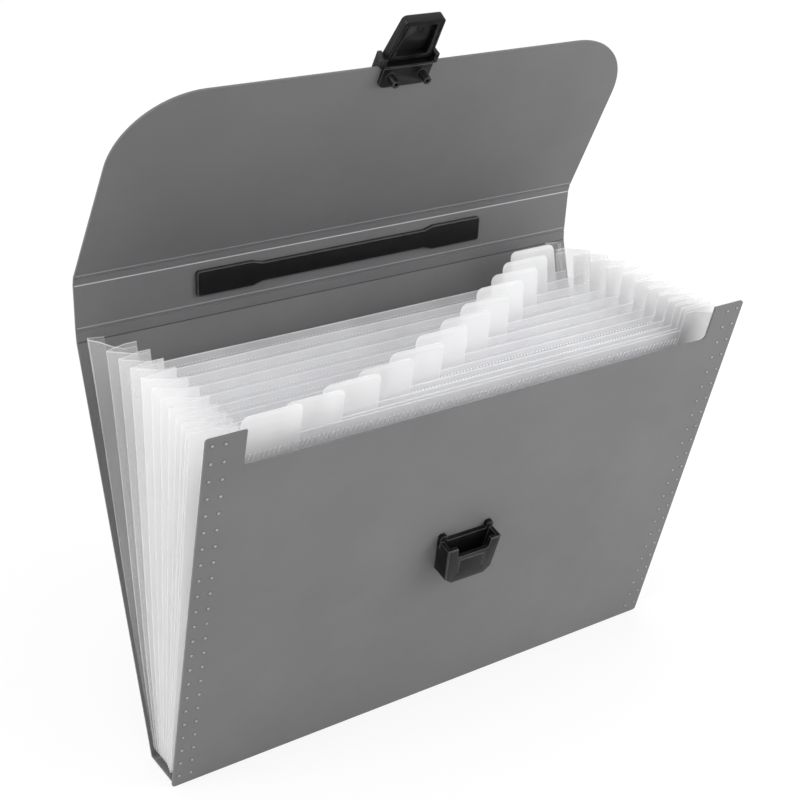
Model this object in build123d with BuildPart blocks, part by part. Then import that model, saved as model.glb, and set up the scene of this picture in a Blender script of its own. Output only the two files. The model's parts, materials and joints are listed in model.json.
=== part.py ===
"""Expanding file in grey plastic sheet: thirteen clear film pockets, a folding flap, a latch and a handle.

Millimetres, +Z up, +Y towards the back. The origin is the middle of the spine's underside.
A panel leans by an angle from the vertical: a positive lean tips its top forward, towards -Y.
"""
import os
from math import cos, radians, sin

from build123d import *

# Cover sheet, scored from one piece of polypropylene
sheet = 1.2
front_width = 330.0
back_width = 326.0
spine_depth = 30.0
front_height = 243.0
back_height = 234.7
shoulder_height = 6.7
strip_height = 26.3
strip_lip = 4.6
flap_height = 119.3
fold_gap = 0.75
score_inset = 3.5
score_radius = 0.35

# Leans of the panels from the vertical, as the file stands open
front_lean = 16.2
back_lean = -13.9
shoulder_lean = -1.0
strip_lean = 5.1
lip_lean = 19.6
flap_lean = 31.4

# Outlines of the cover
flap_top_width = 310.0
flap_corner = 46.0
horn_width = 21.0
notch_depth = 21.5
notch_corner = 3.0
horn_corner = 1.5
foot_corner = 1.5

# Film pockets
pocket_count = 13
film = 0.4
pleat_film = 0.3
divider_width = 292.0
divider_height = 219.0
divider_foot = 1.9
divider_bead = 0.35
film_clearance = 0.05
fan_first = 0.10
fan_last = 0.84
fan_power = 1.9
pleat_top = 234.0
pleat_foot = 2.2
pleat_edge_front = 165.0
pleat_edge_back = 158.5
pleat_margin = 1.0
pleat_stretches = 5
floor_film = 0.3
floor_ridge = 1.0
floor_margin = 1.5
ridge_share = 0.3

# Index tabs, stepped across the dividers
tab_width = 33.0
tab_low = 207.0
tab_high = 237.0
tab_corner = 4.0
tab_first = -122.5
tab_step = 25.0
tab_step_loss = 0.26

# Handle on the top strip
handle_middle = 13.9
handle_length = 188.0
handle_pad_length = 34.0
handle_pad_width = 15.0
handle_waist_width = 11.5
handle_taper = 6.0
plate_thickness = 2.2
plate_corner = 2.0
plate_bevel = 0.5
pad_thickness = 3.0
grip_height = 24.0
grip_thickness = 6.0
grip_half_span = 48.0
grip_foot = 60.0
grip_width = 13.0
grip_slope = 6.0
grip_bend = 8.0
grip_bevel = 1.0
peg_radius = 2.0
peg_places = (68.0, 86.0)

# Latch on the edge of the flap
latch_width = 34.8
latch_low = 105.5
latch_depth = 4.5
latch_corner = 4.0
latch_clearance = 0.2
latch_bevel = 0.5
clamp_width = 30.0
clamp_low = 106.5
clamp_thickness = 1.8
latch_peg_radius = 2.3
latch_peg_bore = 1.1
latch_peg_length = 8.5
latch_peg_offset = 9.5
latch_peg_up = 114.0
latch_bar_top = 120.4
ear_thickness = 2.4
ear_top = 125.3
pin_up = 122.9
pin_inward = -2.0
pin_radius = 1.5
pin_clearance = 0.05
lever_tilt = 6.0
lever_length = 26.6
lever_base_width = 28.5
lever_tip_width = 23.5
lever_thickness = 4.6
lever_corner = 2.5
lever_bevel = 0.4
lever_barrel = 2.2
lever_window = (19.0, 7.8)
lever_window_up = 6.5
lever_window_depth = 3.7
lever_recess = (18.5, 12.4)
lever_recess_slope = 84
lever_recess_up = 16.6
lever_recess_depth = 2.2
lever_ring_radius = 2.0
lever_ring_width = 0.4
lever_ring_up = 19.0
lever_rail_line = (0.6, 0.4)
lever_rail_low = 3.0
lever_rail_share = 0.86

# Catch on the front cover
catch_low = 103.4
catch_high = 129.0
catch_base_width = 30.0
catch_top_width = 35.0
catch_chamfer = 4.0
catch_depth = 11.2
catch_wall = 2.4
catch_back_wall = 2.9
catch_floor = 9.6
catch_ear_width = 4.6
catch_ear_rise = 3.8
catch_ear_corner = 1.6
catch_window = (20.0, 22.4)
catch_window_low = 122.6
catch_groove = (16.6, 9.0)
catch_groove_low = 110.8
catch_groove_width = 0.5
catch_groove_depth = 0.4
rivet_radius = 2.0
rivet_offset = 8.0
rivet_up = 109.0
rivet_depth = 2.0
backing_size = (30.0, 18.0)
backing_corner = 3.0
backing_rise = 4.0
backing_thickness = 0.8

# Cuts run this far past the faces that they open
overrun = 2.0


def along(foot, lean, distance, inward=0.0):
    """The point (y, z) that lies a distance up a leaning panel, and inward from it towards the front."""
    a = radians(lean)
    return (
        foot[0] - distance * sin(a) - inward * cos(a),
        foot[1] + distance * cos(a) - inward * sin(a),
    )


def panel_plane(foot, lean):
    """The plane of a leaning panel: local x runs across it, local y up it and local z towards the front."""
    a = radians(lean)
    return Plane(origin=(0, foot[0], foot[1]), x_dir=(1, 0, 0), z_dir=(0, -cos(a), -sin(a)))


def cross_plane(foot, lean, distance):
    """The plane square across a leaning panel: local x runs across it and local y points out behind it."""
    a = radians(lean)
    y, z = along(foot, lean, distance)
    return Plane(origin=(0, y, z), x_dir=(1, 0, 0), z_dir=(0, -sin(a), cos(a)))


def fold_bead(point, length):
    """A round bead along a fold, added to the part that is being built."""
    with Locations(Location((0, point[0], point[1]), (0, 90, 0))):
        Cylinder(radius=sheet / 2, height=length)


def slab(foot, lean, low, high, width):
    """A flat stretch of the cover sheet, added to the part that is being built."""
    with Locations(panel_plane(foot, lean).location * Location((0, (low + high) / 2, 0))):
        Box(width, high - low, sheet)


def finish(name, builder):
    """Labels a finished piece and writes it to its own file."""
    builder.part.label = name
    export_step(builder.part, f"parts/{name}.step")


os.makedirs("parts", exist_ok=True)

# Fold lines, as points (y, z)
front_fold = (-spine_depth / 2, sheet / 2)
back_fold = (spine_depth / 2, sheet / 2)
shoulder_fold = along(back_fold, back_lean, back_height)
strip_fold = along(shoulder_fold, shoulder_lean, shoulder_height)
lip_fold = along(strip_fold, strip_lean, strip_height)
flap_fold = along(lip_fold, lip_lean, strip_lip)

# The spine is the floor of the cover, with a score line beside each fold
with BuildPart() as spine:
    with BuildSketch():
        Rectangle(back_width, spine_depth - 2 * fold_gap)
    extrude(amount=sheet)
    with BuildSketch(Plane.YZ.offset(-back_width / 2)):
        with Locations((front_fold[0] + score_inset, 0), (back_fold[0] - score_inset, 0)):
            Circle(score_radius)
    extrude(amount=back_width, mode=Mode.SUBTRACT)
finish("spine", spine)

# The pockets' floor is film folded into a low ridge between each two dividers
pocket_pitch = spine_depth / pocket_count
with BuildPart() as pocket_floor:
    ridge_half = pocket_pitch * ridge_share
    floor_front = front_fold[0] + floor_margin
    floor_back = back_fold[0] - floor_margin
    floor_low = sheet
    floor_high = sheet + floor_film
    ridge_centres = [front_fold[0] + pocket_pitch * (i + 0.5) for i in range(1, pocket_count - 1)]
    top_line = [(floor_front, floor_high)]
    for centre in ridge_centres:
        top_line += [
            (centre - ridge_half, floor_high),
            (centre, floor_high + floor_ridge),
            (centre + ridge_half, floor_high),
        ]
    top_line.append((floor_back, floor_high))
    with BuildSketch(Plane.YZ.offset(-divider_width / 2)):
        with BuildLine():
            Polyline((floor_back, floor_low), (floor_front, floor_low), *top_line, close=True)
        make_face()
    extrude(amount=divider_width)
finish("pocket_floor", pocket_floor)

# The front cover has a horn at each side of its notch, and holes for the catch's rivets
with BuildPart() as front_cover:
    with BuildSketch(panel_plane(front_fold, front_lean)) as front_outline:
        with Locations((0, front_height / 2)):
            Rectangle(front_width, front_height)
        fillet(front_outline.vertices().group_by(Axis.Y)[0], foot_corner)
        fillet(front_outline.vertices().group_by(Axis.Y)[-1], horn_corner)
        with Locations((0, front_height)):
            Rectangle(front_width - 2 * horn_width, 2 * notch_depth, mode=Mode.SUBTRACT)
        fillet(front_outline.vertices().group_by(Axis.Y)[-3], notch_corner)
        with Locations((-rivet_offset, rivet_up), (rivet_offset, rivet_up)):
            Circle(rivet_radius, mode=Mode.SUBTRACT)
    extrude(amount=sheet / 2, both=True)
    fold_bead(front_fold, front_width - 2 * foot_corner)
finish("front_cover", front_cover)

# The back cover ends in a narrow shoulder, which the top strip folds from
with BuildPart() as back_cover:
    slab(back_fold, back_lean, 0, back_height, back_width)
    fold_bead(back_fold, back_width)
    slab(shoulder_fold, shoulder_lean, 0, shoulder_height - fold_gap, back_width)
    fold_bead(shoulder_fold, back_width)
finish("back_cover", back_cover)

# The top strip carries the handle and ends in a lip, which the flap folds from
with BuildPart() as top_strip:
    fold_bead(strip_fold, back_width)
    slab(strip_fold, strip_lean, 0, strip_height, back_width)
    fold_bead(lip_fold, back_width)
    slab(lip_fold, lip_lean, 0, strip_lip - fold_gap, back_width)
    with BuildSketch(panel_plane(strip_fold, strip_lean)):
        with Locations(*[(side * x, handle_middle) for side in (-1, 1) for x in peg_places]):
            Circle(peg_radius)
    extrude(amount=2 * sheet, both=True, mode=Mode.SUBTRACT)
finish("top_strip", top_strip)

# The flap has two large round corners, and two holes for the latch's pegs
with BuildPart() as flap:
    with BuildSketch(panel_plane(flap_fold, flap_lean)) as flap_outline:
        with BuildLine():
            Polyline(
                (-back_width / 2, 0),
                (back_width / 2, 0),
                (flap_top_width / 2, flap_height),
                (-flap_top_width / 2, flap_height),
                close=True,
            )
        make_face()
        fillet(flap_outline.vertices().group_by(Axis.Y)[-1], flap_corner)
        with Locations((-latch_peg_offset, latch_peg_up), (latch_peg_offset, latch_peg_up)):
            Circle(latch_peg_radius, mode=Mode.SUBTRACT)
    extrude(amount=sheet / 2, both=True)
    fold_bead(flap_fold, back_width)
finish("flap", flap)

# The dividers fan out about their round feet. Each carries an index tab a step further across than the last,
# and the steps shorten a little towards the back
divider_feet = []
divider_leans = []
for i in range(pocket_count - 1):
    share = fan_first + (fan_last - fan_first) * (i / (pocket_count - 2)) ** fan_power
    divider_feet.append((front_fold[0] + pocket_pitch * (i + 1), divider_foot))
    divider_leans.append(front_lean + (back_lean - front_lean) * share)

for i in range(pocket_count - 1):
    divider_plane = panel_plane(divider_feet[i], divider_leans[i])
    with BuildPart() as divider:
        with BuildSketch(divider_plane):
            with Locations((0, divider_height / 2)):
                Rectangle(divider_width, divider_height)
        extrude(amount=film / 2, both=True)
        with Locations(Location((0, *divider_feet[i]), (0, 90, 0))):
            Cylinder(radius=divider_bead, height=divider_width)
    finish(f"divider_{i + 1:02d}", divider)
    with BuildPart() as tab:
        with BuildSketch(divider_plane.offset(film / 2)) as tab_outline:
            with Locations((tab_first + (tab_step - tab_step_loss * i) * i, (tab_low + tab_high) / 2)):
                Rectangle(tab_width, tab_high - tab_low)
            fillet(tab_outline.vertices().group_by(Axis.Y)[-1], tab_corner)
        extrude(amount=film)
    finish(f"tab_{i + 1:02d}", tab)

# Each pocket has a gusset at either end: a film fold between two dividers, or one leaf from a cover's edge
panel_feet = [front_fold] + divider_feet + [back_fold]
panel_leans = [front_lean] + divider_leans + [back_lean]
panel_halves = [sheet / 2] + [film / 2] * (pocket_count - 1) + [sheet / 2]


def panel_face(k, z, side):
    """The y just off a panel's face at height z: side 1 is its rear face and side -1 its front face."""
    a = radians(panel_leans[k])
    middle = panel_feet[k][0] - (z - panel_feet[k][1]) * sin(a) / cos(a)
    return middle + side * (panel_halves[k] / cos(a) + film_clearance)


def pleat_points(k, z):
    """Half of the outline of pocket k's gusset at height z, as points (x, y) on the right-hand side."""
    inner = divider_width / 2
    outer = pleat_edge_front + (pleat_edge_back - pleat_edge_front) * (k + 0.5) / pocket_count
    front_y = panel_face(k, z, 1)
    rear_y = panel_face(k + 1, z, -1)
    if k == 0:
        edge = outer - pleat_margin
        return [(edge, front_y), (edge, front_y + pleat_film), (inner, rear_y), (inner, rear_y - pleat_film)]
    if k == pocket_count - 1:
        edge = outer - pleat_margin
        return [(edge, rear_y), (edge, rear_y - pleat_film), (inner, front_y), (inner, front_y + pleat_film)]
    middle = (front_y + rear_y) / 2
    inner_fold = inner + (outer - inner) * (middle - front_y - pleat_film) / (middle - front_y)
    return [
        (inner, front_y),
        (outer, middle),
        (inner, rear_y),
        (inner, rear_y - pleat_film),
        (inner_fold, middle),
        (inner, front_y + pleat_film),
    ]


def flat_face(*points):
    """A flat face with these corners."""
    return Face(Wire.make_polygon(points, close=True))


def pleat_solid(rings):
    """A film between outlines stacked in height, with two flat triangles where a stretch of it twists."""
    faces = [flat_face(*rings[0]), flat_face(*rings[-1])]
    for low, high in zip(rings, rings[1:]):
        for i in range(len(low)):
            j = (i + 1) % len(low)
            lean_out = abs(low[j][0]) - abs(low[i][0])
            if lean_out == 0:
                faces.append(flat_face(low[i], low[j], high[j], high[i]))
            elif lean_out > 0:
                faces += [flat_face(low[i], low[j], high[i]), flat_face(low[j], high[j], high[i])]
            else:
                faces += [flat_face(low[i], low[j], high[j]), flat_face(low[i], high[j], high[i])]
    return Solid(Shell(faces))


for k in range(pocket_count):
    top_z = pleat_top * cos(radians((panel_leans[k] + panel_leans[k + 1]) / 2))
    heights = [pleat_foot + (top_z - pleat_foot) * n / pleat_stretches for n in range(pleat_stretches + 1)]
    with BuildPart() as gusset:
        for side in (-1, 1):
            add(pleat_solid([[(side * x, y, z) for x, y in pleat_points(k, z)] for z in heights]))
    finish(f"gusset_{k + 1:02d}", gusset)

# The handle is a grip behind the strip, and its pegs go through to the backing plate in front
strip_plane = panel_plane(strip_fold, strip_lean)
with BuildPart() as handle_backing_plate:
    with BuildSketch(
        Plane(
            origin=strip_plane.from_local_coords((0, handle_middle, sheet / 2)),
            x_dir=(1, 0, 0),
            z_dir=strip_plane.z_dir,
        )
    ) as plate_outline:
        end = handle_length / 2
        pad = end - handle_pad_length
        waist = pad - handle_taper
        corner = [(end, handle_pad_width / 2), (pad, handle_pad_width / 2), (waist, handle_waist_width / 2)]
        upper = corner + [(-x, y) for x, y in reversed(corner)]
        with BuildLine():
            Polyline(*upper, *[(x, -y) for x, y in reversed(upper)], close=True)
        make_face()
        fillet(plate_outline.vertices(), plate_corner)
    extrude(amount=plate_thickness)
    chamfer(handle_backing_plate.faces().sort_by(Axis.Y)[0].edges(), plate_bevel)
finish("handle_backing_plate", handle_backing_plate)

with BuildPart() as handle_grip:
    with BuildSketch(cross_plane(strip_fold, strip_lean, handle_middle)) as grip_side:
        base = sheet / 2
        end = handle_length / 2
        under = base + grip_height - grip_thickness
        with BuildLine():
            Polyline(
                (end, base),
                (grip_foot - grip_slope, base),
                (grip_half_span - grip_slope, under),
                (-grip_half_span + grip_slope, under),
                (-grip_foot + grip_slope, base),
                (-end, base),
                (-end, base + pad_thickness),
                (-grip_foot, base + pad_thickness),
                (-grip_half_span, base + grip_height),
                (grip_half_span, base + grip_height),
                (grip_foot, base + pad_thickness),
                (end, base + pad_thickness),
                close=True,
            )
        make_face()
        fillet(grip_side.vertices().group_by(Axis.Y)[2:], grip_bend)
    extrude(amount=grip_width / 2, both=True)
    chamfer(handle_grip.faces().sort_by(Axis.Z)[0].edges(), grip_bevel)
    chamfer(handle_grip.faces().sort_by(Axis.Z)[-1].edges(), grip_bevel)
    with BuildSketch(panel_plane(strip_fold, strip_lean)):
        with Locations(*[(side * x, handle_middle) for side in (-1, 1) for x in peg_places]):
            Circle(peg_radius)
    extrude(amount=sheet / 2, both=True)
finish("handle_grip", handle_grip)

# The latch grips the flap's edge between an outer block with two ears and an inner plate with hollow pegs
flap_plane = panel_plane(flap_fold, flap_lean)
latch_outside = flap_plane.offset(-sheet / 2 - latch_depth)
latch_through = latch_depth + sheet + clamp_thickness
ledge_low = flap_height + latch_clearance
with BuildPart() as latch_base:
    with BuildSketch(latch_outside) as block_outline:
        with Locations((0, (latch_low + latch_bar_top) / 2)):
            Rectangle(latch_width, latch_bar_top - latch_low)
        fillet(block_outline.vertices().group_by(Axis.Y)[0], latch_corner)
    extrude(amount=latch_depth)
    chamfer(latch_base.faces().sort_by(Axis.Y)[-1].edges(), latch_bevel)
    with BuildSketch(latch_outside):
        with Locations((0, (ledge_low + latch_bar_top) / 2)):
            Rectangle(latch_width - 2 * latch_bevel, latch_bar_top - ledge_low)
        ear_x = (latch_width - ear_thickness) / 2 - latch_bevel
        with Locations((-ear_x, (ledge_low + ear_top) / 2), (ear_x, (ledge_low + ear_top) / 2)):
            Rectangle(ear_thickness, ear_top - ledge_low)
    extrude(amount=latch_through)
    with Locations(flap_plane.location * Location((0, pin_up, pin_inward), (0, 90, 0))):
        Cylinder(radius=pin_radius, height=latch_width + overrun, mode=Mode.SUBTRACT)
finish("latch_base", latch_base)

with BuildPart() as latch_pin:
    with Locations(flap_plane.location * Location((0, pin_up, pin_inward), (0, 90, 0))):
        Cylinder(radius=pin_radius, height=latch_width - 2 * latch_bevel)
finish("latch_pin", latch_pin)

with BuildPart() as latch_clamp_plate:
    with BuildSketch(flap_plane.offset(sheet / 2)) as clamp_outline:
        with Locations((0, (clamp_low + flap_height) / 2)):
            Rectangle(clamp_width, flap_height - clamp_low)
        fillet(clamp_outline.vertices().group_by(Axis.Y)[0], latch_corner)
    extrude(amount=clamp_thickness)
    with BuildSketch(flap_plane.offset(-sheet / 2)):
        with Locations((-latch_peg_offset, latch_peg_up), (latch_peg_offset, latch_peg_up)):
            Circle(latch_peg_radius)
    extrude(amount=sheet + latch_peg_length)
    with BuildSketch(flap_plane.offset(sheet / 2)):
        with Locations((-latch_peg_offset, latch_peg_up), (latch_peg_offset, latch_peg_up)):
            Circle(latch_peg_bore)
    extrude(amount=latch_peg_length + sheet, mode=Mode.SUBTRACT)
finish("latch_clamp_plate", latch_clamp_plate)

# The lever is a tapered frame with a deep hollow, a recessed panel, scored rails and a barrel about the pin
pin_point = along(flap_fold, flap_lean, pin_up, pin_inward)
lever_plane = panel_plane(pin_point, flap_lean + lever_tilt)
with BuildPart() as latch_lever:
    with BuildSketch(lever_plane.offset(-lever_thickness / 2)) as lever_outline:
        with BuildLine():
            Polyline(
                (-lever_base_width / 2, 0),
                (lever_base_width / 2, 0),
                (lever_tip_width / 2, lever_length),
                (-lever_tip_width / 2, lever_length),
                close=True,
            )
        make_face()
        fillet(lever_outline.vertices().group_by(Axis.Y)[-1], lever_corner)
    extrude(amount=lever_thickness)
    chamfer(latch_lever.faces().sort_by(Axis.Y)[-1].edges(), lever_bevel)
    with Locations(lever_plane.location * Location((0, 0, 0), (0, 90, 0))):
        Cylinder(radius=lever_barrel, height=lever_base_width)
    with BuildSketch(lever_plane.offset(lever_thickness / 2 - lever_window_depth)):
        with Locations((0, lever_window_up)):
            Rectangle(*lever_window)
    extrude(amount=lever_thickness, mode=Mode.SUBTRACT)
    recess_plane = lever_plane.offset(lever_thickness / 2 - lever_recess_depth)
    with BuildSketch(recess_plane):
        with Locations((0, lever_recess_up)):
            Trapezoid(*lever_recess, lever_recess_slope)
    extrude(amount=lever_thickness, mode=Mode.SUBTRACT)
    for side in (-1, 1):
        low_x = side * lever_rail_share * lever_base_width / 2
        high_x = side * lever_rail_share * lever_tip_width / 2
        with BuildSketch(lever_plane.offset(lever_thickness / 2 - lever_rail_line[1])):
            with BuildLine():
                Polyline(
                    (low_x, lever_rail_low),
                    (low_x + lever_rail_line[0], lever_rail_low),
                    (high_x + lever_rail_line[0], lever_length - lever_rail_low),
                    (high_x, lever_length - lever_rail_low),
                    close=True,
                )
            make_face()
        extrude(amount=lever_thickness, mode=Mode.SUBTRACT)
    with BuildSketch(recess_plane):
        with Locations((0, lever_ring_up)):
            Circle(lever_ring_radius)
            Circle(lever_ring_radius - lever_ring_width, mode=Mode.SUBTRACT)
    extrude(amount=-lever_ring_width, mode=Mode.SUBTRACT)
    with Locations(lever_plane.location * Location((0, 0, 0), (0, 90, 0))):
        Cylinder(radius=pin_radius + pin_clearance, height=latch_width, mode=Mode.SUBTRACT)
finish("latch_lever", latch_lever)

# The catch is an open-topped box with two notched ears, riveted to a thin plate inside the front cover
front_plane = panel_plane(front_fold, front_lean)
catch_back = front_plane.offset(sheet / 2)
catch_front = front_plane.offset(sheet / 2 + catch_depth)


def catch_half(up):
    """Half the width of the catch at a height up the front cover."""
    share = (up - catch_low) / (catch_high - catch_low)
    return (catch_base_width + (catch_top_width - catch_base_width) * share) / 2


with BuildPart() as catch_body:
    with BuildSketch(catch_back) as catch_outline:
        with BuildLine():
            Polyline(
                (-catch_half(catch_low), catch_low),
                (catch_half(catch_low), catch_low),
                (catch_half(catch_high), catch_high),
                (-catch_half(catch_high), catch_high),
                close=True,
            )
        make_face()
        chamfer(catch_outline.vertices().group_by(Axis.Y)[0], catch_chamfer)
    extrude(amount=catch_depth)
    chamfer(catch_body.faces().sort_by(Axis.Y)[0].edges(), latch_bevel)
    with BuildSketch(catch_back) as ear_outline:
        ear_x = catch_half(catch_high) - catch_ear_width / 2
        ear_middle = catch_high + catch_ear_rise / 2 - overrun
        with Locations((-ear_x, ear_middle), (ear_x, ear_middle)):
            Rectangle(catch_ear_width, catch_ear_rise + 2 * overrun)
        fillet(ear_outline.vertices().group_by(Axis.Y)[-1], catch_ear_corner)
    extrude(amount=catch_back_wall)
    cavity_low = catch_low + catch_floor
    with BuildSketch(front_plane.offset(sheet / 2 + catch_back_wall)):
        with BuildLine():
            Polyline(
                (-catch_half(cavity_low) + catch_wall, cavity_low),
                (catch_half(cavity_low) - catch_wall, cavity_low),
                (catch_half(catch_high + overrun) - catch_wall, catch_high + overrun),
                (-catch_half(catch_high + overrun) + catch_wall, catch_high + overrun),
                close=True,
            )
        make_face()
    extrude(amount=catch_depth - catch_back_wall - catch_wall, mode=Mode.SUBTRACT)
    with BuildSketch(catch_front.offset(-catch_wall)):
        with BuildLine():
            Polyline(
                (-catch_window[0] / 2, catch_window_low),
                (catch_window[0] / 2, catch_window_low),
                (catch_window[1] / 2, catch_high + overrun),
                (-catch_window[1] / 2, catch_high + overrun),
                close=True,
            )
        make_face()
    extrude(amount=catch_wall + overrun, mode=Mode.SUBTRACT)
    with BuildSketch(catch_front):
        groove_x = (catch_groove[0] - catch_groove_width) / 2
        with Locations((0, catch_groove_low + catch_groove[1])):
            Rectangle(catch_groove[0], catch_groove_width)
        with Locations(*[(side * groove_x, catch_groove_low + catch_groove[1] / 2) for side in (-1, 1)]):
            Rectangle(catch_groove_width, catch_groove[1])
    extrude(amount=-catch_groove_depth, mode=Mode.SUBTRACT)
    with BuildSketch(catch_back):
        with Locations((-rivet_offset, rivet_up), (rivet_offset, rivet_up)):
            Circle(rivet_radius)
    extrude(amount=rivet_depth, mode=Mode.SUBTRACT)
finish("catch_body", catch_body)

with BuildPart() as catch_backing_plate:
    with BuildSketch(front_plane.offset(-sheet / 2 - backing_thickness)):
        with Locations((0, rivet_up + backing_rise)):
            RectangleRounded(*backing_size, backing_corner)
        with Locations((-rivet_offset, rivet_up), (rivet_offset, rivet_up)):
            Circle(rivet_radius, mode=Mode.SUBTRACT)
    extrude(amount=backing_thickness)
finish("catch_backing_plate", catch_backing_plate)

with BuildPart() as catch_rivets:
    with BuildSketch(front_plane.offset(-sheet / 2 - backing_thickness)):
        with Locations((-rivet_offset, rivet_up), (rivet_offset, rivet_up)):
            Circle(rivet_radius)
    extrude(amount=backing_thickness + sheet + rivet_depth)
finish("catch_rivets", catch_rivets)
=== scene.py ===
"""Looks of the expanding file: its cover sheet, film pockets, index tabs and black moulded parts.

Metres, in the model's frame: X across the file, +Y towards the back, +Z up. A panel is placed by its foot
(y, z) and its lean from the vertical, which is positive when its top tips forward. Points on a panel are
(x, up, out): across it, up it from its foot, and out towards the front.
"""
import json
from math import asin, cos, pi, radians, sin, sqrt, tan

import bmesh
import bpy
import numpy as np
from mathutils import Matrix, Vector


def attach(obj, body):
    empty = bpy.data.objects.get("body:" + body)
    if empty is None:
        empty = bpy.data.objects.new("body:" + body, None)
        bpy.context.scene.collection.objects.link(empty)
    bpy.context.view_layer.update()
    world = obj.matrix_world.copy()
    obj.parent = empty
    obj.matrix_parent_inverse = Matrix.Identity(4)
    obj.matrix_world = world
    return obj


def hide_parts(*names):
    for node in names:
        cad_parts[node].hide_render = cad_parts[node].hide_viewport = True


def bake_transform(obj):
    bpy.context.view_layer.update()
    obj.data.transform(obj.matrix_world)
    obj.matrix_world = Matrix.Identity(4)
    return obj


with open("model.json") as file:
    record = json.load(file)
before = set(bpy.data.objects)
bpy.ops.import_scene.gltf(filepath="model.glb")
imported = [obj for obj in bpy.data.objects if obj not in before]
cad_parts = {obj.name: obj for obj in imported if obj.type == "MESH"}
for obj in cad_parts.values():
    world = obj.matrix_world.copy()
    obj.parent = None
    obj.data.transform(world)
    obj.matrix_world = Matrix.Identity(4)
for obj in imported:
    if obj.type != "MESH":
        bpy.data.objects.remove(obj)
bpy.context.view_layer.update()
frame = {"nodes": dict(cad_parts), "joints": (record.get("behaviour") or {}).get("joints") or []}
nodes = frame["nodes"]
joints = {joint["child"]: joint for joint in frame["joints"]}
MM = 0.001

# Cover sheet and its leans that no joint states
SHEET = 1.2 * MM
FRONT_HEIGHT = 243 * MM
SHOULDER_LEAN = radians(-1.0)
STRIP_LEAN = radians(5.1)
LIP_LEAN = radians(19.6)
FLAP_LEAN = radians(31.4)
SHOULDER_HEIGHT = 6.7 * MM
STRIP_HEIGHT = 26.3 * MM
HALF_WIDTH = 162.5 * MM
FRONT_HALF_WIDTH = 160 * MM

# Score lines and live hinges
SCORE_HALF = 0.4 * MM
SCORE_RISE = 0.16 * MM
SCORE_SINK = 0.1 * MM
SPINE_SCORE = 10.75 * MM
SPINE_SCORE_START = 147 * MM
WEB_REACH = 1.4 * MM
WEB_THICKNESS = 0.5 * MM

# Weld dots: columns as their distance from the middle and their drop
DOT_COLUMNS = ((161.5 * MM, 0.0), (154.6 * MM, 0.6 * MM))
DOT_COUNT = 23
DOT_PITCH = 10.5 * MM
DOT_TOP = 238.9 * MM
DOT_BACK_TOP = 229 * MM
DOT_SIDES = 8
DOT_NARROWING = 0.78
DOT_PROFILE = ((1.7, -0.05), (1.45, 0.08), (1.0, 0.1), (0.8, 0.22), (0.5, 0.42), (0.2, 0.5))
DOT_RING_LEVELS = 2

# Film pockets
POCKETS = 13
FILM = 0.4 * MM
PLEAT_FILM = 0.3 * MM
DIVIDER_HALF = 146 * MM
DIVIDER_HEIGHT = 219 * MM
PLEAT_EDGE_FRONT = 165 * MM
PLEAT_EDGE_BACK = 158.5 * MM
PLEAT_EDGE_FOOT = 162.6 * MM
PLEAT_FOOT = 2.2 * MM
PLEAT_FOOT_RISE = 5 * MM
PLEAT_TOP = 234 * MM
PLEAT_FOOT_FADE = 40 * MM
PLEAT_FOOT_SPREAD = 1.25
PLEAT_TOP_DROP = 1.6 * MM
PLEAT_ATTACHED = 148 * MM
PLEAT_WAVE = 0.5 * MM
PLEAT_WAVE_LENGTH = 31 * MM
PLEAT_CREASE = 0.3 * MM
FLANGE = 7 * MM
FACE_CLEARANCE = 0.05 * MM

# Waves along a divider's free edge
WAVE_FRONT = 0.15
WAVE_BACK = 0.3
WAVE_LONG = 47 * MM
WAVE_SHORT = 21 * MM
WAVE_END = 30 * MM

# Rows of welds below the dividers' top edges, in mm: pitch, width, height, slant and depth below the edge
TALL_WELDS = (2.7, 0.9, 3.6, 0.9, 8.5)
SHORT_WELDS = (2.1, 1.1, 0.8, 0.0, 4.5)
WELD_MARGIN = 16 * MM
WELD_RISE = 0.22 * MM
WELD_INSET = 0.2 * MM
WELD_SINK = 0.05 * MM
BRIGHT_WELD_DIVIDERS = 5

# Index tabs
TAB_WIDTH = 33 * MM
TAB_LOW = 207 * MM
TAB_HIGH = 237 * MM
TAB_CORNER = 4 * MM
TAB_FIRST = -122.5 * MM
TAB_STEP = 25 * MM
TAB_STEP_LOSS = 0.26 * MM
TAB_CURL_OUT = 0.5
TAB_CURL_IN = -0.4
TAB_COLUMNS = (-1, -0.97, -0.93, -0.86, -0.78, -0.72, -0.4, 0, 0.4, 0.72, 0.78, 0.86, 0.93, 0.97, 1)

# Camera, from a fit of the cover's corners and folds in the photograph
CAMERA_AZIMUTH = radians(-33.34)
CAMERA_ELEVATION = radians(23.78)
CAMERA_DISTANCE = 835.7 * MM
CAMERA_TARGET = Vector((2.65, 15.7, 176.65)) * MM
CAMERA_FOCAL = 66.6

# Stage and lamps: each sun's name, direction, strength and spread in degrees
FLOOR_REACH = 3.0
FLOOR_WHITE = 0.8
FILL_STRENGTH = 0.5
KEY_PLACE = (0.78, -0.75, 0.5)
KEY_AIM = Vector((0, 0, 0.18))
KEY_SIZE = 0.7
KEY_POWER = 6.3
SUNS = (
    ("left", (-1.0, -0.1, 0.6), 1.8, 50),
    ("back", (0.1, 0.6, 1.0), 0.5, 60),
    ("top", (0.1, -0.5, 1.0), 0.7, 50),
)


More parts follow.
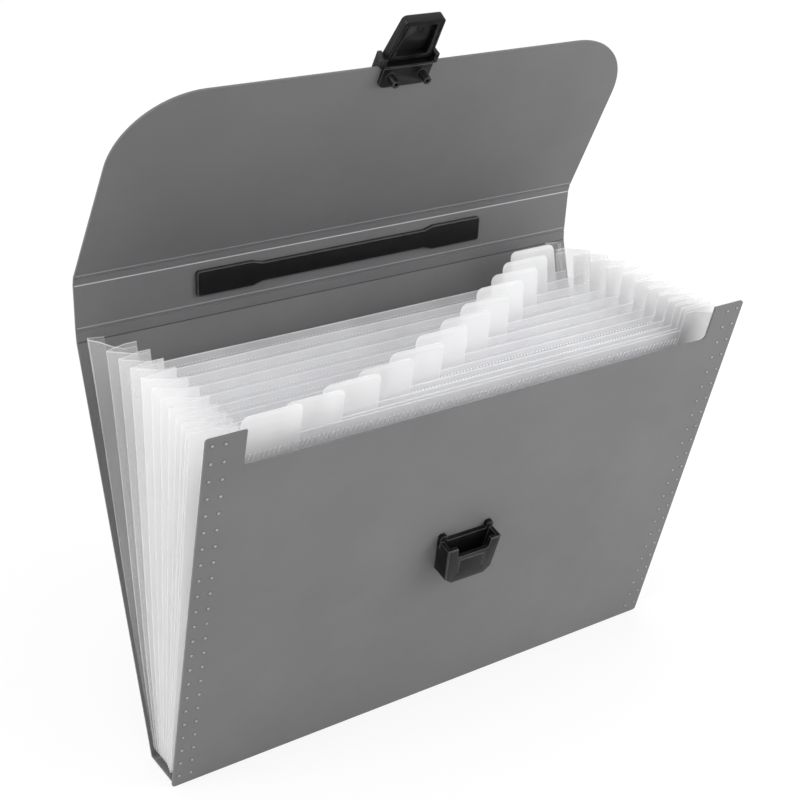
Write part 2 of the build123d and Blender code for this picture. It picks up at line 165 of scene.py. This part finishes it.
def set_camera():
    """The photograph's view of the file."""
    away = Vector(
        (
            sin(CAMERA_AZIMUTH) * cos(CAMERA_ELEVATION),
            -cos(CAMERA_AZIMUTH) * cos(CAMERA_ELEVATION),
            sin(CAMERA_ELEVATION),
        )
    )
    data = bpy.data.cameras.new("camera")
    data.lens = CAMERA_FOCAL
    data.sensor_width = 36
    data.clip_start = 0.01
    camera = bpy.data.objects.new("camera", data)
    camera.location = CAMERA_TARGET + away * CAMERA_DISTANCE
    camera.rotation_euler = (-away).to_track_quat("-Z", "Y").to_euler()
    bpy.context.scene.collection.objects.link(camera)
    bpy.context.scene.camera = camera


# Materials


def new_material(name):
    """An empty node material: its node tree, its shader and its object coordinates."""
    material = bpy.data.materials.new(name)
    material.use_nodes = True
    tree = material.node_tree
    shader = tree.nodes["Principled BSDF"]
    place = tree.nodes.new("ShaderNodeTexCoord").outputs["Object"]
    return material, tree, shader, place


def noise(tree, place, scale, detail=3.0, stretch=(1, 1, 1)):
    """Noise of a number of features per metre, stretched along the axes."""
    mapping = tree.nodes.new("ShaderNodeMapping")
    mapping.inputs["Scale"].default_value = stretch
    tree.links.new(place, mapping.inputs["Vector"])
    texture = tree.nodes.new("ShaderNodeTexNoise")
    texture.inputs["Scale"].default_value = scale
    texture.inputs["Detail"].default_value = detail
    tree.links.new(mapping.outputs["Vector"], texture.inputs["Vector"])
    return texture.outputs["Fac"]


def ramp(tree, value, low, high, start=0.3, end=0.7):
    """A number that runs from low to high as value runs from start to end."""
    node = tree.nodes.new("ShaderNodeMapRange")
    node.inputs["From Min"].default_value = start
    node.inputs["From Max"].default_value = end
    node.inputs["To Min"].default_value = low
    node.inputs["To Max"].default_value = high
    tree.links.new(value, node.inputs["Value"])
    return node.outputs["Result"]


def tint(tree, value, dark, light, start=0.3, end=0.7):
    """A colour that runs from dark to light as value runs from start to end."""
    node = tree.nodes.new("ShaderNodeValToRGB")
    node.color_ramp.elements[0].position = start
    node.color_ramp.elements[0].color = (*dark, 1)
    node.color_ramp.elements[1].position = end
    node.color_ramp.elements[1].color = (*light, 1)
    tree.links.new(value, node.inputs["Fac"])
    return node.outputs["Color"]


def add_values(tree, first, second, weight=1.0):
    """first plus weight times second."""
    node = tree.nodes.new("ShaderNodeMath")
    node.operation = "MULTIPLY_ADD"
    tree.links.new(second, node.inputs[0])
    node.inputs[1].default_value = weight
    tree.links.new(first, node.inputs[2])
    return node.outputs["Value"]


def bump(tree, shader, height, depth):
    """Relief of a depth in metres on the shader."""
    node = tree.nodes.new("ShaderNodeBump")
    node.inputs["Strength"].default_value = 1.0
    node.inputs["Distance"].default_value = depth
    tree.links.new(height, node.inputs["Height"])
    tree.links.new(node.outputs["Normal"], shader.inputs["Normal"])


def sheet_material(name, dark, light):
    """Matt scored plastic sheet: a fine sand grain, faint clouding and a soft sheen."""
    material, tree, shader, place = new_material(name)
    cloud = noise(tree, place, 14, 4)
    speck = noise(tree, place, 900, 2)
    tree.links.new(
        tint(tree, add_values(tree, cloud, speck, 0.25), dark, light, 0.35, 0.85),
        shader.inputs["Base Color"],
    )
    tree.links.new(ramp(tree, noise(tree, place, 60, 4), 0.44, 0.56), shader.inputs["Roughness"])
    grain = add_values(tree, noise(tree, place, 1500, 2), noise(tree, place, 420, 3), 0.6)
    bump(tree, shader, grain, depth=0.00003)
    shader.inputs["Specular IOR Level"].default_value = 0.2
    return material


def moulded_material(name, dark, light):
    """Black moulded plastic: spark-eroded texture with a dull shine."""
    material, tree, shader, place = new_material(name)
    tree.links.new(tint(tree, noise(tree, place, 120, 4), dark, light), shader.inputs["Base Color"])
    tree.links.new(ramp(tree, noise(tree, place, 300, 3), 0.28, 0.36), shader.inputs["Roughness"])
    bump(tree, shader, noise(tree, place, 1800, 2), depth=0.000008)
    shader.inputs["Specular IOR Level"].default_value = 0.2
    return material


def film_material(name, colour, low, high, roughness):
    """Clear film: it lets some light through, a little less where it is hazy, and is faintly rippled."""
    material, tree, shader, place = new_material(name)
    haze = noise(tree, place, 24, 2, stretch=(1, 1, 0.35))
    tree.links.new(ramp(tree, haze, low, high), shader.inputs["Alpha"])
    shader.inputs["Base Color"].default_value = (*colour, 1)
    tree.links.new(ramp(tree, haze, roughness, roughness + 0.1), shader.inputs["Roughness"])
    bump(tree, shader, haze, depth=0.0012)
    return material


MATERIALS = {
    "sheet": sheet_material("cover_sheet", (0.138, 0.138, 0.141), (0.16, 0.16, 0.163)),
    # Score lines and hinge webs are coloured lighter than the sheet, a painted highlight along their
    # ridges; the brighter copy below is a stronger painted highlight.
    "score": sheet_material("score_line", (0.25, 0.25, 0.255), (0.32, 0.32, 0.325)),
    "painted_highlight_score": sheet_material("score_line_painted_highlight", (0.42, 0.42, 0.425), (0.52, 0.52, 0.525)),
    "crease": sheet_material("crease_shadow", (0.045, 0.045, 0.047), (0.07, 0.07, 0.072)),
    # Weld dots: the ring is coloured dark, painted shade round each bump, and the dot light, a painted
    # highlight on it.
    "ring": sheet_material("weld_ring_painted_shade", (0.08, 0.08, 0.082), (0.12, 0.12, 0.122)),
    "dot": sheet_material("weld_dot", (0.28, 0.28, 0.285), (0.36, 0.36, 0.365)),
    "black": moulded_material("black_moulding", (0.003, 0.003, 0.0034), (0.006, 0.006, 0.0064)),
    # The black parts' rounded edges are coloured lighter: a painted highlight along them.
    "black_edge_painted_highlight": moulded_material("black_moulding_edge_painted_highlight", (0.05, 0.05, 0.051), (0.08, 0.08, 0.081)),
    "film": film_material("clear_film", (0.97, 0.97, 0.985), 0.26, 0.36, 0.3),
    "edge": film_material("film_edge", (0.98, 0.98, 0.985), 0.4, 0.6, 0.3),
    "fold": film_material("film_fold", (0.98, 0.98, 0.985), 0.24, 0.38, 0.3),
    "weld": film_material("film_weld", (0.99, 0.99, 0.99), 0.75, 0.95, 0.2),
    "faint_weld": film_material("film_weld_faint", (0.98, 0.98, 0.985), 0.3, 0.5, 0.25),
    "tab": film_material("tab_film", (0.98, 0.98, 0.985), 0.4, 0.52, 0.35),
}

# Painted light and shade in the pleats' film: greyer and clearer where a film stands alone at the back,
# whiter where the films bunch up in front, and painted lighter at the left ends than at the right ones.
for k in range(POCKETS):
    bunch = min((POCKETS - 1 - k) / 3.5, 1.0)
    for place, painted_light in (("left", 0.4), ("right", 0.29)):
        grey = 0.58 + painted_light * bunch
        MATERIALS[f"pleat_{place}_{k + 1:02d}"] = film_material(
            f"pleat_film_{place}_{k + 1:02d}",
            (grey, grey, grey + 0.004),
            0.15 + 0.11 * bunch,
            0.2 + 0.14 * bunch,
            0.3,
        )


# Mesh building


def on_panel(foot, lean, x, up, out):
    """The point (x, up, out) of a panel, in the model's frame."""
    y = foot[0] - up * sin(lean) - out * cos(lean)
    z = foot[1] + up * cos(lean) - out * sin(lean)
    return Vector((x, y, z))


def make_piece(name, mesh_data, materials, body, smooth_angle=None):
    """An object from a bmesh, with its materials, on its body unless body is None."""
    mesh = bpy.data.meshes.new(name)
    mesh_data.to_mesh(mesh)
    mesh_data.free()
    for material in materials:
        mesh.materials.append(MATERIALS[material])
    piece = bpy.data.objects.new(name, mesh)
    bpy.context.scene.collection.objects.link(piece)
    if smooth_angle is not None:
        mesh.shade_smooth()
        mesh.set_sharp_from_angle(angle=smooth_angle)
    if body is not None:
        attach(piece, body)
    return piece


def add_film(mesh, grid, thickness, face_slot=0, edge_slot=1, edge_rows=(), edge_columns=()):
    """Adds a thin closed sheet round a grid of points, an array of rows by columns by three."""
    grid = np.asarray(grid, float)
    along_rows = np.gradient(grid, axis=0)
    along_columns = np.gradient(grid, axis=1)
    normals = np.cross(along_columns, along_rows)
    normals /= np.maximum(np.linalg.norm(normals, axis=2, keepdims=True), 1e-12)
    rows, columns = grid.shape[:2]
    sides = []
    for side in (0.5, -0.5):
        points = grid + side * thickness * normals
        sides.append([[mesh.verts.new(points[i, j]) for j in range(columns)] for i in range(rows)])
    front, back = sides

    def face(corners, slot):
        mesh.faces.new(corners).material_index = slot

    for i in range(rows - 1):
        for j in range(columns - 1):
            slot = edge_slot if i in edge_rows or j in edge_columns else face_slot
            face([front[i][j], front[i][j + 1], front[i + 1][j + 1], front[i + 1][j]], slot)
            face([back[i][j], back[i + 1][j], back[i + 1][j + 1], back[i][j + 1]], slot)
    for i in range(rows - 1):
        face([front[i][0], front[i + 1][0], back[i + 1][0], back[i][0]], edge_slot)
        face([front[i][-1], back[i][-1], back[i + 1][-1], front[i + 1][-1]], edge_slot)
    for j in range(columns - 1):
        face([front[0][j], back[0][j], back[0][j + 1], front[0][j + 1]], edge_slot)
        face([front[-1][j], front[-1][j + 1], back[-1][j + 1], back[-1][j]], edge_slot)


def add_block(mesh, corners, slot=0):
    """Adds a closed block from its four lower and four upper corners, both in the same order round."""
    points = [mesh.verts.new(corner) for corner in corners]
    for quad in ((3, 2, 1, 0), (4, 5, 6, 7), (0, 1, 5, 4), (1, 2, 6, 5), (2, 3, 7, 6), (3, 0, 4, 7)):
        mesh.faces.new([points[i] for i in quad]).material_index = slot


# Panels: their feet and leans, from the joints that they turn on
DIVIDERS = [f"divider_{i:02d}" for i in range(1, 13)]
PANELS = ["front_cover", *DIVIDERS, "back_cover"]
feet = {name: (joints[name]["pos_m"][1], joints[name]["pos_m"][2]) for name in PANELS}
leans = {
    name: -joints[name]["axis"][0] * radians(joints[name]["range_deg"][1]) for name in PANELS
}
halves = {name: (SHEET if name.endswith("cover") else FILM) / 2 for name in PANELS}


def panel_y(name, z):
    """The y of a panel's middle at a height."""
    return feet[name][0] - (z - feet[name][1]) * tan(leans[name])


def face_y(name, z, side):
    """The y just off a panel's face at a height: side 1 is its rear face and side -1 its front face."""
    return panel_y(name, z) + side * (halves[name] / cos(leans[name]) + FACE_CLEARANCE)


def smoothstep(t):
    """0 below 0, 1 above 1 and smooth between them."""
    t = min(max(t, 0.0), 1.0)
    return t * t * (3 - 2 * t)


def divider_wave(number, x, up):
    """How far a divider's film stands off its plane.

    It waves along its free top edge, and more in the wider pockets at the back.
    """
    share = (max(up, 0) / DIVIDER_HEIGHT) ** 2
    ends = smoothstep((DIVIDER_HALF - abs(x)) / WAVE_END)
    room = WAVE_FRONT + WAVE_BACK * smoothstep((number - 3) / 8)
    wave = sin(x / WAVE_LONG + 1.7 * number) + 0.6 * sin(x / WAVE_SHORT + 2.9 * number)
    return room * MM * share * ends * wave


def build_divider(number):
    """One film divider with its row of welds below the top edge."""
    name = DIVIDERS[number - 1]
    foot, lean = feet[name], leans[name]
    columns = np.linspace(-DIVIDER_HALF, DIVIDER_HALF, 61)
    rows = np.concatenate([np.linspace(0, 0.9, 10), [0.94, 0.97, 0.9975, 1.0]]) * DIVIDER_HEIGHT
    grid = [
        [on_panel(foot, lean, x, up, divider_wave(number, x, up)) for x in columns] for up in rows
    ]
    mesh = bmesh.new()
    add_film(mesh, grid, FILM, edge_rows=(len(rows) - 2,))
    piece = make_piece(f"film_{name}", mesh, ["film", "edge"], name, radians(50))
    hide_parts(name)

    tall = number == 1
    pitch, width, height, slant, depth = TALL_WELDS if tall else SHORT_WELDS
    up_low = DIVIDER_HEIGHT - depth * MM
    mesh = bmesh.new()
    count = int((2 * DIVIDER_HALF - WELD_MARGIN) / (pitch * MM))
    for i in range(count):
        x = (i - (count - 1) / 2) * pitch * MM
        base = divider_wave(number, x, up_low) + FILM / 2 - WELD_SINK
        if tall and abs(x - TAB_FIRST) < TAB_WIDTH / 2:
            base += FILM
        corners = []
        for lift, inset in ((0, 0), (WELD_RISE, WELD_INSET)):
            for side, up in ((-1, 0), (1, 0), (1, height * MM), (-1, height * MM)):
                across = x + side * (width * MM / 2 - inset) + slant * up / height
                climb = up_low + (inset if up == 0 else up - inset)
                corners.append(on_panel(foot, lean, across, climb, base + lift))
        add_block(mesh, corners)
    look = "weld" if number <= BRIGHT_WELD_DIVIDERS else "faint_weld"
    make_piece(f"welds_{number:02d}", mesh, [look], name)


def build_tab(number):
    """One milky tab, welded to the front of its divider, with round upper corners and a faint curl."""
    name = DIVIDERS[number - 1]
    foot, lean = feet[name], leans[name]
    middle = TAB_FIRST + (TAB_STEP - TAB_STEP_LOSS * (number - 1)) * (number - 1)
    curl = (TAB_CURL_OUT if number % 3 else TAB_CURL_IN) * MM
    rows = []
    for share in np.linspace(0, 1, 13):
        row = []
        for across in TAB_COLUMNS:
            x = across * TAB_WIDTH / 2
            past = max(abs(x) - (TAB_WIDTH / 2 - TAB_CORNER), 0)
            drop = TAB_CORNER - sqrt(TAB_CORNER**2 - past**2)
            up = TAB_LOW + share * (TAB_HIGH - drop - TAB_LOW)
            free = max(up - DIVIDER_HEIGHT, 0) / (TAB_HIGH - DIVIDER_HEIGHT)
            out = divider_wave(number, middle + x, min(up, DIVIDER_HEIGHT)) + FILM + curl * free**2
            row.append(on_panel(foot, lean, middle + x, up, out))
        rows.append(row)
    mesh = bmesh.new()
    add_film(mesh, rows, FILM, edge_columns=(0, 13), edge_rows=(11,))
    piece = make_piece(f"film_tab_{number:02d}", mesh, ["tab", "edge"], name, radians(50))
    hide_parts(f"tab_{number:02d}")


# Gusset pleats


def pleat_path(k, z, side):
    """One row of pocket k's gusset at a height.

    Its points (x, y, z) run from one panel's face round to the next one's. The film was cut before it
    was folded, so its outer fold ends a little off the height of its inner ends, and starts a little
    above the spine.
    """
    front, rear = PANELS[k], PANELS[k + 1]
    front_y = face_y(front, z, 1) + PLEAT_FILM / 2
    rear_y = face_y(rear, z, -1) - PLEAT_FILM / 2
    gap = rear_y - front_y
    middle = front_y + gap / 2
    wave = min(PLEAT_WAVE, 0.1 * gap) * sin(z / PLEAT_WAVE_LENGTH + 2.3 * k + side)
    inner = DIVIDER_HALF
    edge = PLEAT_EDGE_FRONT + (PLEAT_EDGE_BACK - PLEAT_EDGE_FRONT) * (k + 0.5) / POCKETS
    widening = smoothstep(PLEAT_FOOT_SPREAD * (1 - z / PLEAT_TOP))
    edge += (max(edge, PLEAT_EDGE_FOOT) - edge) * widening
    half = (edge - inner) / 2
    if k == 0:
        path = [
            (PLEAT_ATTACHED, front_y),
            (edge - 1.2 * MM, front_y),
            (edge - 0.9 * MM, front_y + 0.15 * gap),
            (edge - 5 * MM, front_y + 0.38 * gap + wave),
            (inner + 4 * MM, front_y + 0.8 * gap + wave / 2),
            (inner, rear_y),
            (inner - FLANGE, rear_y),
        ]
    elif k == len(PANELS) - 2:
        path = [
            (inner - FLANGE, front_y),
            (inner, front_y),
            (inner + 4 * MM, front_y + 0.2 * gap + wave / 2),
            (edge - 5 * MM, front_y + 0.62 * gap + wave),
            (edge - 0.9 * MM, rear_y - 0.15 * gap),
            (edge - 1.2 * MM, rear_y),
            (PLEAT_ATTACHED, rear_y),
        ]
    else:
        path = [
            (inner - FLANGE, front_y),
            (inner, front_y),
            (inner + half, front_y + 0.25 * gap + wave),
            (edge - PLEAT_CREASE, middle - min(0.06 * gap, PLEAT_CREASE)),
            (edge - PLEAT_CREASE, middle + min(0.06 * gap, PLEAT_CREASE)),
            (inner + half, rear_y - 0.25 * gap + wave),
            (inner, rear_y),
            (inner - FLANGE, rear_y),
        ]
    foot_rise = PLEAT_FOOT_RISE * max(1 - (z - PLEAT_FOOT) / PLEAT_FOOT_FADE, 0)
    lift = -PLEAT_TOP_DROP * side * z / PLEAT_TOP + foot_rise
    return [(side * x, y, z + lift * max(x - inner, 0) / (edge - inner)) for x, y in path]


def build_gusset(k):
    """The pleats at both ends of pocket k, which fold between its two panels."""
    mean_lean = (leans[PANELS[k]] + leans[PANELS[k + 1]]) / 2
    top = PLEAT_TOP * cos(mean_lean)
    heights = np.append(np.linspace(PLEAT_FOOT, top - 0.5 * MM, 25), top)
    mesh = bmesh.new()
    fold_columns = {0: (1,), len(PANELS) - 2: (4,)}.get(k, (3,))
    for side in (-1, 1):
        grid = [pleat_path(k, z, side) for z in heights]
        face_slot = 0 if side < 0 else 2
        add_film(mesh, grid, PLEAT_FILM, face_slot, edge_columns=fold_columns, edge_rows=(24,))
    bmesh.ops.recalc_face_normals(mesh, faces=mesh.faces)
    looks = [f"pleat_left_{k + 1:02d}", "fold", f"pleat_right_{k + 1:02d}"]
    piece = make_piece(f"pleats_{k + 1:02d}", mesh, looks, None, radians(35))
    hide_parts(f"gusset_{k + 1:02d}")
    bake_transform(piece)


# Cover details


def build_weld_dots(name, side):
    """Two staggered columns of weld dots at each end of a cover: a bump coloured light as a painted
    highlight, in a pressed ring coloured dark as painted shade.
    """
    foot, lean = feet[name], leans[name]
    high = DOT_BACK_TOP if name == "back_cover" else FRONT_HEIGHT
    mesh = bmesh.new()
    for end in (-1, 1):
        for x, shift in DOT_COLUMNS:
            for i in range(DOT_COUNT):
                up = DOT_TOP - shift - i * DOT_PITCH
                if up > high:
                    continue
                rings = []
                turn = 0.4 * sin(3.1 * i + 7 * x)
                for radius, height in DOT_PROFILE:
                    out = side * (SHEET / 2 + height * MM)
                    ring = []
                    for j in range(DOT_SIDES):
                        angle = 2 * pi * j / DOT_SIDES + turn
                        reach = radius * MM * (1 if j % 2 else DOT_NARROWING)
                        place = (end * x + reach * cos(angle), up + reach * sin(angle), out)
                        ring.append(mesh.verts.new(on_panel(foot, lean, *place)))
                    rings.append(ring)
                for level, (lower, upper) in enumerate(zip(rings, rings[1:])):
                    for j in range(DOT_SIDES):
                        after = (j + 1) % DOT_SIDES
                        face = mesh.faces.new((lower[j], lower[after], upper[after], upper[j]))
                        # The lower levels take the ring's painted shade, the upper ones the dot's painted
                        # highlight.
                        face.material_index = 0 if level < DOT_RING_LEVELS else 1
                mesh.faces.new(rings[-1]).material_index = 1
                mesh.faces.new(rings[0])
    bmesh.ops.recalc_face_normals(mesh, faces=mesh.faces)
    make_piece(f"weld_dots_{name}", mesh, ["ring", "dot"], name, radians(60))


def add_ribbon(mesh, path, half_width, thickness):
    """A thin closed ribbon along X with a cross-section that follows a path of (y, z) points."""
    grid = [[(x, y, z) for x in (-half_width, half_width)] for y, z in path]
    add_film(mesh, grid, thickness, edge_slot=0)


def build_web(name, point, parent_way, child_way, half_width):
    """The thin web of a live hinge: it bridges the gap along a fold and bends between the two panels."""
    path = []
    for step in (-1, -0.5, 0, 0.5, 1):
        way = parent_way if step < 0 else child_way
        along = abs(step) * WEB_REACH
        path.append((point[0] + along * way[0], point[1] + along * way[1]))
    mesh = bmesh.new()
    add_ribbon(mesh, path, half_width, WEB_THICKNESS)
    bmesh.ops.recalc_face_normals(mesh, faces=mesh.faces)
    # It takes the score lines' lighter colour: a painted highlight along the fold.
    web = make_piece(name, mesh, ["score"], None)
    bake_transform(web)


def up_way(lean):
    """The direction (y, z) up a leaning panel."""
    return (-sin(lean), cos(lean))


def down_way(lean):
    """The direction (y, z) down a leaning panel."""
    return (sin(lean), -cos(lean))


def build_score_line(name, body, foot, lean, up, ends, material="score"):
    """A score line pressed into the sheet between two places across it: a slim ridge with a rounded top."""
    mesh = bmesh.new()
    profile = [
        (-SCORE_HALF, -SCORE_SINK),
        (-0.55 * SCORE_HALF, 0.7 * SCORE_RISE),
        (0, SCORE_RISE),
        (0.55 * SCORE_HALF, 0.7 * SCORE_RISE),
        (SCORE_HALF, -SCORE_SINK),
    ]
    first, last = (
        [mesh.verts.new(on_panel(foot, lean, x, up + a, SHEET / 2 + h)) for a, h in profile] for x in ends
    )
    for i in range(len(profile)):
        j = (i + 1) % len(profile)
        mesh.faces.new((first[i], first[j], last[j], last[i]))
    mesh.faces.new(first)
    mesh.faces.new(last)
    bmesh.ops.recalc_face_normals(mesh, faces=mesh.faces)
    # Its colour is lighter than the sheet, a painted highlight on the ridge, except for the crease, whose
    # dark colour is painted shade.
    make_piece(name, mesh, [material], body, radians(60))


def soften(node, body, width, materials=("black", "black_edge_painted_highlight")):
    """A copy of a moulded part with its edges rounded off and coloured lighter as a painted highlight, in
    place of the plain solid.
    """
    mesh = bmesh.new()
    mesh.from_mesh(nodes[node].data)
    bmesh.ops.remove_doubles(mesh, verts=mesh.verts, dist=0.004 * MM)
    bmesh.ops.dissolve_limit(mesh, angle_limit=radians(1), verts=mesh.verts, edges=mesh.edges)
    for face in mesh.faces:
        face.material_index = 0
    sharp = [edge for edge in mesh.edges if edge.is_manifold and edge.calc_face_angle(0) > radians(30)]
    rounded = bmesh.ops.bevel(
        mesh, geom=sharp, offset=width, segments=2, profile=0.6, affect="EDGES", clamp_overlap=True
    )
    # The rounded edges take the lighter black: a painted highlight.
    for face in rounded["faces"]:
        face.material_index = 1
    piece = make_piece(f"moulded_{node}", mesh, materials, body, radians(35))
    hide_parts(node)
    return piece


def paint(node, material):
    """Gives a carried-over solid its material."""
    mesh = nodes[node].data
    mesh.materials.clear()
    mesh.materials.append(MATERIALS[material])


# Stage


def seen_rays(tree):
    """1 for the rays that show the background: camera rays, and mirrored or transmitted ones."""
    rays = tree.nodes.new("ShaderNodeLightPath")
    seen = rays.outputs["Is Camera Ray"]
    for other in ("Is Glossy Ray", "Is Transmission Ray"):
        node = tree.nodes.new("ShaderNodeMath")
        node.operation = "MAXIMUM"
        tree.links.new(seen, node.inputs[0])
        tree.links.new(rays.outputs[other], node.inputs[1])
        seen = node.outputs["Value"]
    return seen


def build_stage():
    """A pale floor under a white background, and soft lamps."""
    material = bpy.data.materials.new("floor")
    material.use_nodes = True
    tree = material.node_tree
    shader = tree.nodes["Principled BSDF"]
    shader.inputs["Base Color"].default_value = (0.92, 0.92, 0.92, 1)
    shader.inputs["Roughness"].default_value = 0.9
    shader.inputs["Specular IOR Level"].default_value = 0.1
    white = tree.nodes.new("ShaderNodeEmission")
    white.inputs["Color"].default_value = (1, 1, 1, 1)
    white.inputs["Strength"].default_value = 1.0
    share = tree.nodes.new("ShaderNodeMath")
    share.operation = "MULTIPLY"
    share.inputs[1].default_value = FLOOR_WHITE
    mix = tree.nodes.new("ShaderNodeMixShader")
    tree.links.new(seen_rays(tree), share.inputs[0])
    tree.links.new(share.outputs[0], mix.inputs["Fac"])
    tree.links.new(shader.outputs[0], mix.inputs[1])
    tree.links.new(white.outputs[0], mix.inputs[2])
    tree.links.new(mix.outputs[0], tree.nodes["Material Output"].inputs["Surface"])
    mesh = bpy.data.meshes.new("floor")
    outline = ((-1, -1), (1, -1), (1, 1), (-1, 1))
    corners = [(x * FLOOR_REACH, y * FLOOR_REACH, 0) for x, y in outline]
    mesh.from_pydata(corners, [], [(0, 1, 2, 3)])
    mesh.materials.append(material)
    floor = bpy.data.objects.new("floor", mesh)
    bpy.context.scene.collection.objects.link(floor)

    world = bpy.data.worlds.new("studio")
    bpy.context.scene.world = world
    world.use_nodes = True
    tree = world.node_tree
    tree.nodes.clear()
    output = tree.nodes.new("ShaderNodeOutputWorld")
    mix = tree.nodes.new("ShaderNodeMixShader")
    fill = tree.nodes.new("ShaderNodeBackground")
    fill.inputs["Color"].default_value = (1, 1, 1, 1)
    fill.inputs["Strength"].default_value = FILL_STRENGTH
    white = tree.nodes.new("ShaderNodeBackground")
    white.inputs["Color"].default_value = (1, 1, 1, 1)
    white.inputs["Strength"].default_value = 1.0
    tree.links.new(seen_rays(tree), mix.inputs["Fac"])
    tree.links.new(fill.outputs[0], mix.inputs[1])
    tree.links.new(white.outputs[0], mix.inputs[2])
    tree.links.new(mix.outputs[0], output.inputs["Surface"])

    data = bpy.data.lights.new("key", "AREA")
    data.shape = "DISK"
    data.size = KEY_SIZE
    data.energy = KEY_POWER
    lamp = bpy.data.objects.new("key", data)
    lamp.location = KEY_PLACE
    lamp.rotation_euler = (KEY_AIM - lamp.location).to_track_quat("-Z", "Y").to_euler()
    bpy.context.scene.collection.objects.link(lamp)

    for name, way, strength, spread in SUNS:
        data = bpy.data.lights.new(name, "SUN")
        data.energy = strength
        data.angle = radians(spread)
        lamp = bpy.data.objects.new(name, data)
        lamp.rotation_euler = (-Vector(way)).to_track_quat("-Z", "Y").to_euler()
        bpy.context.scene.collection.objects.link(lamp)


bpy.context.scene.view_settings.view_transform = "Standard"
bpy.context.scene.cycles.transparent_max_bounces = 128
bpy.context.scene.cycles.diffuse_bounces = 8
set_camera()
build_stage()

for node in ("spine", "front_cover", "back_cover", "top_strip", "flap"):
    paint(node, "sheet")
for node in ("catch_backing_plate", "catch_rivets", "latch_pin"):
    paint(node, "black")
paint("pocket_floor", "film")
for number in range(1, 13):
    build_divider(number)
    build_tab(number)
for k in range(len(PANELS) - 1):
    build_gusset(k)

for node, body, width in (
    ("handle_backing_plate", "top_strip", 0.25 * MM),
    ("handle_grip", "top_strip", 0.4 * MM),
    ("latch_base", "flap", 0.3 * MM),
    ("latch_clamp_plate", "flap", 0.25 * MM),
    ("latch_lever", "latch_lever", 0.3 * MM),
    ("catch_body", "front_cover", 0.3 * MM),
):
    soften(node, body, width)

build_weld_dots("front_cover", 1)
build_weld_dots("back_cover", -1)

strip_foot = tuple(joints["top_strip"]["pos_m"][1:])
flap_foot = tuple(joints["flap"]["pos_m"][1:])
front_up, back_up = up_way(leans["front_cover"]), up_way(leans["back_cover"])
for name, parent, child, point, parent_way, child_way, half_width in (
    ("web_front", "base", "front_cover", feet["front_cover"], (1, 0), front_up, FRONT_HALF_WIDTH),
    ("web_back", "base", "back_cover", feet["back_cover"], (-1, 0), back_up, HALF_WIDTH),
    (
        "web_strip", "back_cover", "top_strip", strip_foot,
        down_way(SHOULDER_LEAN), up_way(STRIP_LEAN), HALF_WIDTH,
    ),
    ("web_flap", "top_strip", "flap", flap_foot, down_way(LIP_LEAN), up_way(FLAP_LEAN), HALF_WIDTH),
):
    build_web(name, point, parent_way, child_way, half_width)
shoulder_foot = (
    strip_foot[0] + SHOULDER_HEIGHT * sin(SHOULDER_LEAN),
    strip_foot[1] - SHOULDER_HEIGHT * cos(SHOULDER_LEAN),
)
whole = (-HALF_WIDTH, HALF_WIDTH)
# The shoulder crease is coloured dark, painted shade in the fold; the strip's high score line takes the
# brighter copy, a stronger painted highlight.
build_score_line("crease_shoulder", "back_cover", shoulder_foot, SHOULDER_LEAN, 0.3 * MM, whole, "crease")
build_score_line("score_strip_low", "top_strip", strip_foot, STRIP_LEAN, 1.6 * MM, whole)
high = STRIP_HEIGHT - 0.6 * MM
build_score_line("score_strip_high", "top_strip", strip_foot, STRIP_LEAN, high, whole, "painted_highlight_score")
build_score_line("score_flap", "flap", flap_foot, FLAP_LEAN, 1.5 * MM, whole)
for side, place in ((-1, "left"), (1, "right")):
    ends = (side * SPINE_SCORE_START, side * HALF_WIDTH)
    for up, row in ((-SPINE_SCORE, "front"), (SPINE_SCORE, "back")):
        build_score_line(f"score_spine_{place}_{row}", "base", (0, SHEET / 2), -pi / 2, up, ends)
